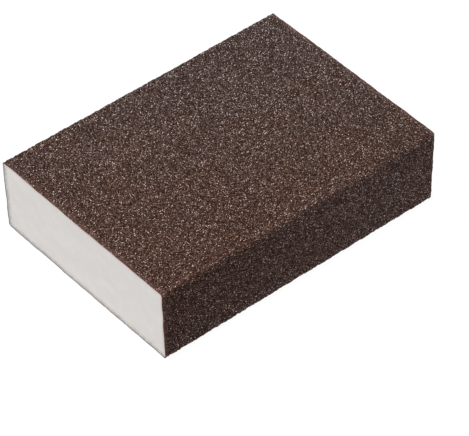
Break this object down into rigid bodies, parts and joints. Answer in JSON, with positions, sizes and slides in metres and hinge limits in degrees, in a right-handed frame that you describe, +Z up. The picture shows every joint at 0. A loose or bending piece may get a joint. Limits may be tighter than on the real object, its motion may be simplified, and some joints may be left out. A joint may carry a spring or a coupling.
{
  "type": "sanding block",
  "caption": "Flexible foam sanding block: a rectangular foam core coated with coarse brown abrasive grit on its long faces, rounded long edges and bare foam ends.",
  "frame": {"origin": "centre of the bottom face, at the height of the grain tips that the block rests on", "axes": "+X along the length, from one bare foam end to the other; +Y across the width, towards the back long side; +Z up, through the thickness"},
  "size_m": [0.1, 0.07, 0.025],
  "materials": {
    "foam": "matte",
    "bond_resin": "satin",
    "grit": "matte"
  },
  "bodies": {
    "root": {"foam_core": "foam", "top_bond_coat": "bond_resin", "bottom_bond_coat": "bond_resin", "front_bond_coat": "bond_resin", "back_bond_coat": "bond_resin", "top_grit_coat": "grit", "bottom_grit_coat": "grit", "front_grit_coat": "grit", "back_grit_coat": "grit"}
  },
  "joints": []
}
